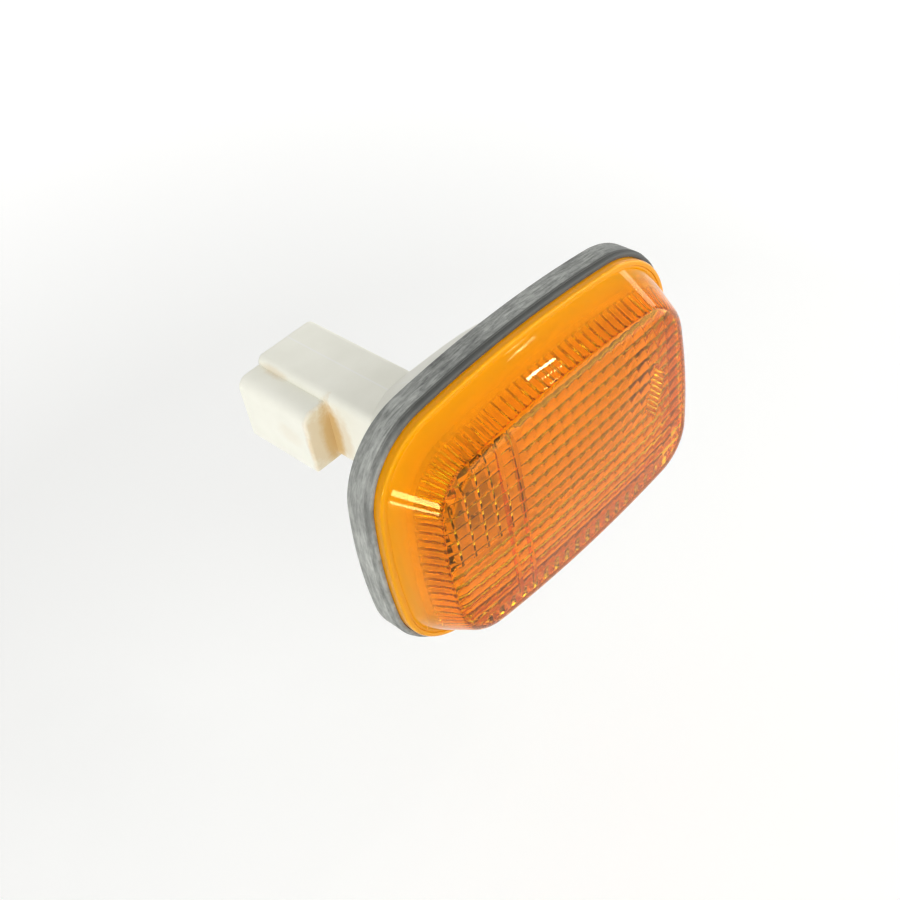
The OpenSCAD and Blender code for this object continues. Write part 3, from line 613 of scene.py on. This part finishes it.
def ridgeBar(start, end):
    # four-sided bar laid along the inside of the face, one edge standing into the lamp
    start, end = (Vector((p[0], crownLevel(*p), p[1])) for p in (start, end))
    run = end - start
    deselectAll()
    bpy.ops.mesh.primitive_cylinder_add(vertices=4, radius=ridges["height"] * mm, depth=run.length * mm,
                                        location=(start + end) / 2 * mm,
                                        rotation=run.to_track_quat("Z", "Y").to_euler())
    applyPlace()
    return bpy.context.object


outer = outerShell()
hollow = hollowShell()
cutFrom(hollow, pillowBlock())
print("hollow cut to the pillow cells", len(hollow.data.polygons))
for x in ridges["uprights"]:
    cutFrom(hollow, ridgeBar((x, -ridges["halfLength"]), (x, ridges["halfLength"])))
print("ridges cut", len(hollow.data.polygons))

# skin and hollow share the foot ring: their end faces go, and the two loops are bridged
hollow.data.flip_normals()
makeActive(outer)
hollow.select_set(True)
bpy.ops.object.join()
selectFaces(outer, lambda centre, normal: centre[1] > lens["rimFront"] - 0.01 and abs(normal[1]) > 0.9)
bpy.ops.mesh.delete(type="ONLY_FACE")
bpy.ops.mesh.select_mode(type="EDGE")
bpy.ops.mesh.select_non_manifold(extend=False)
bpy.ops.mesh.bridge_edge_loops()
pointOutwards()
bpy.ops.object.mode_set(mode="OBJECT")
finishPiece(outer, "lensMoulding", amberAcrylic, "lens")


# gasket: a ring round the rim with a stepped front lip, and a flat pad behind the rim with the bowl's opening in it

gasket = {"depth": 5.4, "middle": -2.7, "wall": 1.0, "pad": 1.2, "round": 0.5, "step": 0.22, "stepAt": -4.3,
          "stepRise": 0.06, "holeX": 28.2, "holeZ": 17.0, "square": 4.5, "holeFrom": -3, "holeRun": 5}


def squareOval(halfX, halfZ, square, y, steps=96):
    # points of a superellipse that stands at y
    points = []
    for k in range(steps):
        turn = 2 * math.pi * k / steps
        c, s = (math.copysign(abs(part) ** (2 / square), part) for part in (math.cos(turn), math.sin(turn)))
        points.append((halfX * c, y, halfZ * s))
    return points


def drawPlate(points, way):
    # a face through the given points, pushed along to a closed solid
    deselectAll()
    bpy.ops.mesh.primitive_circle_add(vertices=len(points), radius=mm, fill_type="NGON")
    piece = bpy.context.object
    for vertex, point in zip(piece.data.vertices, points):
        vertex.co = Vector(point) * mm
    editPiece(piece, "SELECT")
    bpy.ops.mesh.extrude_region_move(TRANSFORM_OT_translate={"value": Vector(way) * mm})
    pointOutwards()
    bpy.ops.object.mode_set(mode="OBJECT")
    return piece


ring = drawOutline(0, gasket["middle"], 2)
editPiece(ring, "SELECT")
raiseFace(gasket["middle"] - gasket["stepAt"])
insetFace(gasket["step"], gasket["stepRise"])
raiseFace(gasket["stepAt"] + gasket["depth"] - gasket["round"] - gasket["stepRise"])
roundOver(gasket["round"] - gasket["step"] / 2, 0, math.pi / 2, 4)
insetFace(gasket["wall"] - gasket["round"] - gasket["step"] / 2)
raiseFace(gasket["pad"] - gasket["depth"] + gasket["step"] / 2)
selectFaces(ring, lambda centre, normal: normal[1] > 0.9 and abs(centre[1] - gasket["middle"]) < 0.1)
raiseFace(gasket["middle"] + gasket["round"])
roundOver(gasket["round"], 0, math.pi / 2, 4)
pointOutwards()
hole = squareOval(gasket["holeX"], gasket["holeZ"], gasket["square"], gasket["holeFrom"])
cutFrom(ring, drawPlate(hole, (0, gasket["holeRun"], 0)))
finishPiece(ring, "gasketRing", agedRubber, "gasket")


# housing: rim plate with its weld tongue, bowl, stalk, connector shroud, fixed lug and spring latch in one moulding

housing = {"rimInset": 1.1, "rimFront": -3.18, "rimBack": -1.2, "tongueInset": 4.7, "tongue": 1.2, "tongueHeight": 1.5,
           "bowlX": 28.0, "bowlZ": 16.8, "bowlDepth": 24.7, "bowlBack": 22.0, "bowlWall": 1.8, "square": 4.5,
           "full": 1.6, "bowlSteps": 14, "bowlFrom": -2.2, "hollowFrom": -6}
stalk = {"low": (-17.3, -1.2, -7.7), "high": (-3.0, 48.0, 7.7), "round": 1.6, "endRound": 0.7,
         "boreLow": (-15.7, -6, -6.1), "boreHigh": (-4.6, 24.0, 6.1), "boreRound": 0.8,
         "pocketLow": (-12.45, 23, -4.95), "pocketHigh": (-7.85, 30.4, 4.95)}
shroud = {"low": (-22.8, 28.7, -7.7), "high": (-10.0, 48.0, 5.9), "brow": 2.4, "browBeyond": -20, "round": 0.6,
          "socketLow": (-21.6, 31.5, -6.5), "socketHigh": (-4.2, 49, 4.7), "socketRound": 0.5,
          "keyLow": (-16.4, 31.5, 0), "keyHigh": (-9.4, 49, 6.1)}
slots = {"x": (-12.05, -8.25), "z": (-2.4, 2.4), "half": (0.325, 1.525),  # one for each terminal
         "from": 23.575, "to": 32.2}
fixings = {"lugLow": (-31.5, 2.1, -6), "lugHigh": (-26.2, 4.7, 6), "lugRound": 0.4, "latchWidth": 10,
           "latchRound": 0.25,  # the latch's side view as (x, y), rooted in the bowl's wall
           "latchPoints": ((20.4, 12.0), (25.2, 12.0), (30.6, 8.1), (30.6, 6.7), (28.7, 2.1), (30.8, 2.1), (32.0, 5.3),
                           (32.0, 9.5), (25.2, 13.4), (20.4, 13.4))}


def addBlock(low, high, radius=0.0, steps=4):
    # a block from corner to corner, with its edges rounded where a radius is given
    deselectAll()
    low, high = Vector(low), Vector(high)
    bpy.ops.mesh.primitive_cube_add(size=mm, location=(low + high) / 2 * mm, scale=high - low)
    piece = bpy.context.object
    applyPlace()
    if radius:
        roundEdges(piece, radius, steps)
    return piece


def roundEdges(piece, radius, steps, test=lambda a, b: True):
    # bevels the edges whose two ends pass the test
    editPiece(piece)
    bpy.ops.mesh.select_mode(type="EDGE")
    bpy.ops.object.mode_set(mode="OBJECT")
    for edge in piece.data.edges:
        a, b = (piece.data.vertices[k].co / mm for k in edge.vertices)
        edge.select = test(a, b)
    bpy.ops.object.mode_set(mode="EDIT")
    bpy.ops.mesh.bevel(offset=radius * mm, segments=steps, affect="EDGES")
    bpy.ops.object.mode_set(mode="OBJECT")


def alongY(a, b):
    return abs(a.x - b.x) < 0.01 and abs(a.z - b.z) < 0.01


def softenEdges(piece, width, segments, sharp):
    # bevels what is left sharper than so many degrees
    applyModifier(piece, "BEVEL", width=width * mm, segments=segments, limit_method="ANGLE",
                  angle_limit=math.radians(sharp))


def addBowl(grow, depth, back, start):
    # the bowl's section drawn at the panel, then extruded and drawn in ring by ring to its flat back
    halfX, halfZ = housing["bowlX"] + grow, housing["bowlZ"] + grow
    piece = drawPlate(squareOval(halfX, halfZ, housing["square"], start), (0, -start, 0))
    selectFaces(piece, lambda centre, normal: normal[1] > 0.9)
    size, reached = 1, 0
    for k in range(1, housing["bowlSteps"] + 1):
        y = back * math.sin(math.pi / 2 * k / housing["bowlSteps"])
        nextSize = (1 - (y / depth) ** housing["full"]) ** (1 / housing["full"])
        bpy.ops.mesh.extrude_region_move()
        bpy.ops.transform.resize(value=(nextSize / size, 1, nextSize / size), center_override=(0, 0, 0))
        bpy.ops.transform.translate(value=(0, (y - reached) * mm, 0))
        size, reached = nextSize, y
    bpy.ops.object.mode_set(mode="OBJECT")
    return piece


rim = drawOutline(housing["rimInset"], housing["rimBack"], 4)
editPiece(rim, "SELECT")
raiseFace(housing["rimBack"] - housing["rimFront"])
insetFace(housing["tongueInset"] - housing["rimInset"])
raiseFace(housing["tongueHeight"])
insetFace(housing["tongue"])
raiseFace(-housing["tongueHeight"])
pointOutwards()
joinTo(rim, addBowl(0, housing["bowlDepth"], housing["bowlBack"], housing["bowlFrom"]))

body = addBlock(stalk["low"], stalk["high"])
roundEdges(body, stalk["round"], 7, alongY)
softenEdges(body, stalk["endRound"], 4, 60)
joinTo(rim, body)

cover = addBlock(shroud["low"], shroud["high"])
roundEdges(cover, shroud["brow"], 9, lambda a, b: alongY(a, b) and a.x < shroud["browBeyond"] and a.z > 0)
softenEdges(cover, shroud["round"], 4, 60)
joinTo(rim, cover)

joinTo(rim, addBlock(fixings["lugLow"], fixings["lugHigh"], fixings["lugRound"]))
half = fixings["latchWidth"] / 2
latch = drawPlate([(x, y, -half) for x, y in fixings["latchPoints"]], (0, 0, 2 * half))
softenEdges(latch, fixings["latchRound"], 3, 30)
joinTo(rim, latch)
print("housing joined", len(rim.data.polygons))

# the bowl's hollow, the bulb's way down the stalk, the plug's socket and its key, and the terminals' slots
wall = housing["bowlWall"]
cutFrom(rim, addBowl(-wall, housing["bowlDepth"] - wall, housing["bowlBack"] - wall, housing["hollowFrom"]))
bore = addBlock(stalk["boreLow"], stalk["boreHigh"])
roundEdges(bore, stalk["boreRound"], 4, alongY)
cutFrom(rim, bore)
cutFrom(rim, addBlock(stalk["pocketLow"], stalk["pocketHigh"]))
socket = addBlock(shroud["socketLow"], shroud["socketHigh"])
roundEdges(socket, shroud["socketRound"], 4, alongY)
cutFrom(rim, socket)
cutFrom(rim, addBlock(shroud["keyLow"], shroud["keyHigh"]))
halfX, halfZ = slots["half"]
for x, z in zip(slots["x"], slots["z"]):
    cutFrom(rim, addBlock((x - halfX, slots["from"], z - halfZ), (x + halfX, slots["to"], z + halfZ)))
finishPiece(rim, "housingMoulding", whitePlastic, "housing")
applyModifier(rim, "WEIGHTED_NORMAL", keep_sharp=True)

# the bulb, its wires and the terminals keep their own solids and take their materials
inside = {"bulb_glass": bulbGlass, "bulb_filament": tungstenWire, "bulb_lead_upper": nickelWire,
          "bulb_lead_lower": nickelWire, "terminal_upper": rolledBrass, "terminal_lower": rolledBrass}
for name, material in inside.items():
    nodes[name].data.materials.clear()
    nodes[name].data.materials.append(material)
print("bulb and terminals dressed")
